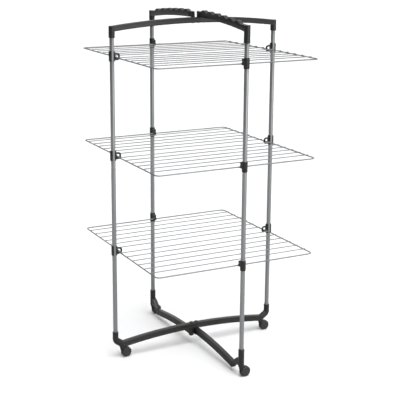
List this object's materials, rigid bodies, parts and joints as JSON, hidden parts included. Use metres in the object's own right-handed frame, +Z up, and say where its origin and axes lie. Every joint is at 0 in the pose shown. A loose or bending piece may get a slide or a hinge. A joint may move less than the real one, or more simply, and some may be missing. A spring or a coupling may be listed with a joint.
{
  "type": "clothes drying rack",
  "caption": "Tower clothes drying rack on castors: crossed tube frames that swing flat, with levels of folding wire half grids and wavy hanger arms on top.",
  "frame": {"origin": "on the floor, under the middle of the rack", "axes": "+X from the left leg to the right leg, along the drying wires; +Y from the front leg to the back leg; +Z up"},
  "size_m": [0.755, 0.805, 1.4273],
  "materials": {
    "leg_tube": "satin silver-grey coated steel tube",
    "grid_wire": "satin light grey coated steel wire",
    "frame_plastic": "matte anthracite moulded plastic",
    "wheel_plastic": "dark grey plastic wheel with a slightly glossy disc",
    "pivot_steel": "zinc plated steel"
  },
  "bodies": {
    "main_frame": {"left_leg_tube": "leg_tube", "right_leg_tube": "leg_tube", "top_arch": "frame_plastic", "base_arch": "frame_plastic", "left_foot": "frame_plastic", "right_foot": "frame_plastic", "top_pivot_pins": "pivot_steel", "top_pivot_washers": "pivot_steel", "base_pivot_pins": "frame_plastic", "ring_clip_left_1": "frame_plastic", "ring_clip_left_2": "frame_plastic", "ring_clip_left_3": "frame_plastic", "ring_clip_right_1": "frame_plastic", "ring_clip_right_2": "frame_plastic", "ring_clip_right_3": "frame_plastic"},
    "front_frame": {"front_leg_tube": "leg_tube", "front_hanger_arm": "frame_plastic", "front_base_bar": "frame_plastic", "front_foot": "frame_plastic", "hook_clip_front_1": "frame_plastic", "hook_clip_front_2": "frame_plastic", "hook_clip_front_3": "frame_plastic"},
    "back_frame": {"back_leg_tube": "leg_tube", "back_hanger_arm": "frame_plastic", "back_base_bar": "frame_plastic", "back_foot": "frame_plastic", "hook_clip_back_1": "frame_plastic", "hook_clip_back_2": "frame_plastic", "hook_clip_back_3": "frame_plastic"},
    "front_grid_1": {"grid_frame_front_1": "grid_wire", "grid_wires_front_1": "grid_wire"},
    "front_grid_2": {"grid_frame_front_2": "grid_wire", "grid_wires_front_2": "grid_wire"},
    "front_grid_3": {"grid_frame_front_3": "grid_wire", "grid_wires_front_3": "grid_wire"},
    "back_grid_1": {"grid_frame_back_1": "grid_wire", "grid_wires_back_1": "grid_wire"},
    "back_grid_2": {"grid_frame_back_2": "grid_wire", "grid_wires_back_2": "grid_wire"},
    "back_grid_3": {"grid_frame_back_3": "grid_wire", "grid_wires_back_3": "grid_wire"},
    "left_castor": {"castor_fork_left": "frame_plastic"},
    "left_wheels": {"castor_wheels_left": "wheel_plastic", "castor_axle_left": "pivot_steel"},
    "right_castor": {"castor_fork_right": "frame_plastic"},
    "right_wheels": {"castor_wheels_right": "wheel_plastic", "castor_axle_right": "pivot_steel"},
    "front_castor": {"castor_fork_front": "frame_plastic"},
    "front_wheels": {"castor_wheels_front": "wheel_plastic", "castor_axle_front": "pivot_steel"},
    "back_castor": {"castor_fork_back": "frame_plastic"},
    "back_wheels": {"castor_wheels_back": "wheel_plastic", "castor_axle_back": "pivot_steel"}
  },
  "joints": [
    {"name": "front_frame_swing", "type": "hinge", "parent": "main_frame", "child": "front_frame", "pos_m": [0.012, 0, 0.082], "axis": [0, 0, 1], "range_deg": [0, 80]},
    {"name": "back_frame_swing", "type": "hinge", "parent": "main_frame", "child": "back_frame", "pos_m": [-0.012, 0, 0.082], "axis": [0, 0, 1], "range_deg": [0, 80]},
    {"name": "front_grid_1_fold", "type": "hinge", "parent": "main_frame", "child": "front_grid_1", "pos_m": [0, 0, 0.45645], "axis": [1, 0, 0], "range_deg": [0, 84]},
    {"name": "front_grid_2_fold", "type": "hinge", "parent": "main_frame", "child": "front_grid_2", "pos_m": [0, 0, 0.85095], "axis": [1, 0, 0], "range_deg": [0, 84]},
    {"name": "front_grid_3_fold", "type": "hinge", "parent": "main_frame", "child": "front_grid_3", "pos_m": [0, 0, 1.24545], "axis": [1, 0, 0], "range_deg": [0, 84]},
    {"name": "back_grid_1_fold", "type": "hinge", "parent": "main_frame", "child": "back_grid_1", "pos_m": [0, 0, 0.45645], "axis": [-1, 0, 0], "range_deg": [0, 84]},
    {"name": "back_grid_2_fold", "type": "hinge", "parent": "main_frame", "child": "back_grid_2", "pos_m": [0, 0, 0.85095], "axis": [-1, 0, 0], "range_deg": [0, 84]},
    {"name": "back_grid_3_fold", "type": "hinge", "parent": "main_frame", "child": "back_grid_3", "pos_m": [0, 0, 1.24545], "axis": [-1, 0, 0], "range_deg": [0, 84]},
    {"name": "left_castor_swivel", "type": "hinge", "parent": "main_frame", "child": "left_castor", "pos_m": [-0.335, 0, 0.046], "axis": [0, 0, 1], "continuous": true},
    {"name": "left_wheel_spin", "type": "hinge", "parent": "left_castor", "child": "left_wheels", "pos_m": [-0.318, 0, 0.0205], "axis": [0, 1, 0], "continuous": true},
    {"name": "right_castor_swivel", "type": "hinge", "parent": "main_frame", "child": "right_castor", "pos_m": [0.335, 0, 0.046], "axis": [0, 0, 1], "continuous": true},
    {"name": "right_wheel_spin", "type": "hinge", "parent": "right_castor", "child": "right_wheels", "pos_m": [0.352, 0, 0.0205], "axis": [0, 1, 0], "continuous": true},
    {"name": "front_castor_swivel", "type": "hinge", "parent": "front_frame", "child": "front_castor", "pos_m": [0.012, -0.39, 0.046], "axis": [0, 0, 1], "continuous": true},
    {"name": "front_wheel_spin", "type": "hinge", "parent": "front_castor", "child": "front_wheels", "pos_m": [0.029, -0.39, 0.0205], "axis": [0, 1, 0], "continuous": true},
    {"name": "back_castor_swivel", "type": "hinge", "parent": "back_frame", "child": "back_castor", "pos_m": [-0.012, 0.39, 0.046], "axis": [0, 0, 1], "continuous": true},
    {"name": "back_wheel_spin", "type": "hinge", "parent": "back_castor", "child": "back_wheels", "pos_m": [0.005, 0.39, 0.0205], "axis": [0, 1, 0], "continuous": true}
  ],
  "couplings": [
    {"joint": "front_grid_1_fold", "follows": "front_frame_swing", "ratio": 1.05},
    {"joint": "front_grid_2_fold", "follows": "front_frame_swing", "ratio": 1.05},
    {"joint": "front_grid_3_fold", "follows": "front_frame_swing", "ratio": 1.05},
    {"joint": "back_grid_1_fold", "follows": "back_frame_swing", "ratio": 1.05},
    {"joint": "back_grid_2_fold", "follows": "back_frame_swing", "ratio": 1.05},
    {"joint": "back_grid_3_fold", "follows": "back_frame_swing", "ratio": 1.05}
  ]
}
